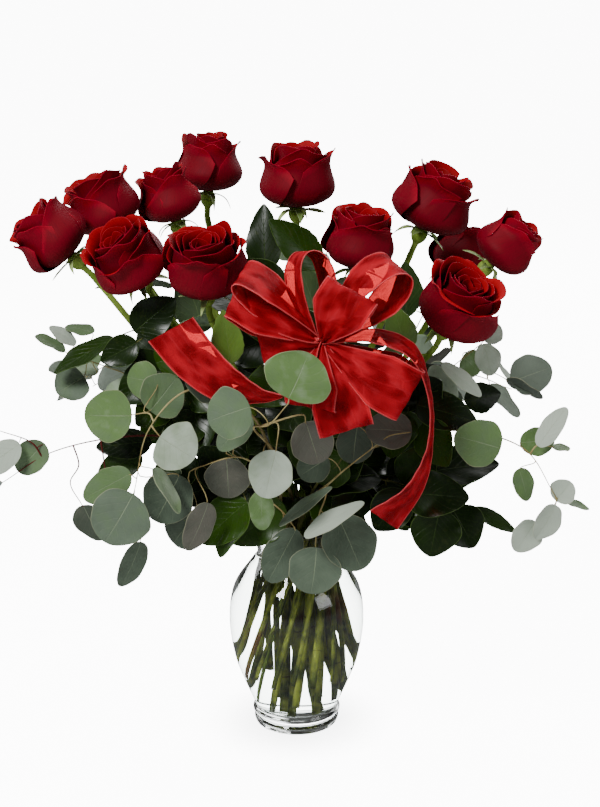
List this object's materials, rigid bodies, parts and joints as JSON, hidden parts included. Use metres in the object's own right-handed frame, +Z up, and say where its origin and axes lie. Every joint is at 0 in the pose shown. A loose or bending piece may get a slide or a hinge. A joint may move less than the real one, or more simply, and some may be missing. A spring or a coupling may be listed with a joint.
{
  "type": "bouquet in a vase",
  "caption": "Red roses with dark green foliage, round-leaved eucalyptus and a sheer red ribbon bow, standing in water in a clear urn-shaped glass vase.",
  "frame": {"origin": "centre of the vase's flat underside, on the table", "axes": "+Z up along the vase's axis; -Y towards the viewer, the side that carries the bow; +X to the viewer's right"},
  "size_m": [0.5501, 0.3961, 0.5529],
  "materials": {
    "vase_glass": "clear pressed glass, smooth and glossy",
    "water": null,
    "rose_petal": null,
    "rose_stem": null,
    "salal_leaf": null,
    "eucalyptus_leaf": null,
    "organza": "sheer red organza with wired edges",
    "stake_wood": "matt green-stained wood"
  },
  "bodies": {
    "root": {"vase": "vase_glass", "vase_water": "water", "rose_01_stem": "rose_stem", "rose_01_bloom": "rose_petal", "rose_02_stem": "rose_stem", "rose_02_bloom": "rose_petal", "rose_03_stem": "rose_stem", "rose_03_bloom": "rose_petal", "rose_04_stem": "rose_stem", "rose_04_bloom": "rose_petal", "rose_05_stem": "rose_stem", "rose_05_bloom": "rose_petal", "rose_06_stem": "rose_stem", "rose_06_bloom": "rose_petal", "rose_07_stem": "rose_stem", "rose_07_bloom": "rose_petal", "rose_08_stem": "rose_stem", "rose_08_bloom": "rose_petal", "rose_09_stem": "rose_stem", "rose_09_bloom": "rose_petal", "rose_10_stem": "rose_stem", "rose_10_bloom": "rose_petal", "rose_11_stem": "rose_stem", "rose_11_bloom": "rose_petal", "rose_12_stem": "rose_stem", "rose_12_bloom": "rose_petal", "salal_01": "salal_leaf", "salal_02": "salal_leaf", "salal_03": "salal_leaf", "salal_04": "salal_leaf", "salal_05": "salal_leaf", "salal_06": "salal_leaf", "salal_07": "salal_leaf", "salal_08": "salal_leaf", "salal_09": "salal_leaf", "eucalyptus_01": "eucalyptus_leaf", "eucalyptus_02": "eucalyptus_leaf", "eucalyptus_03": "eucalyptus_leaf", "eucalyptus_04": "eucalyptus_leaf", "eucalyptus_05": "eucalyptus_leaf", "eucalyptus_06": "eucalyptus_leaf", "eucalyptus_07": "eucalyptus_leaf", "eucalyptus_08": "eucalyptus_leaf", "eucalyptus_09": "eucalyptus_leaf", "eucalyptus_10": "eucalyptus_leaf", "bow_stake": "stake_wood", "ribbon_bow": "organza"}
  },
  "joints": []
}
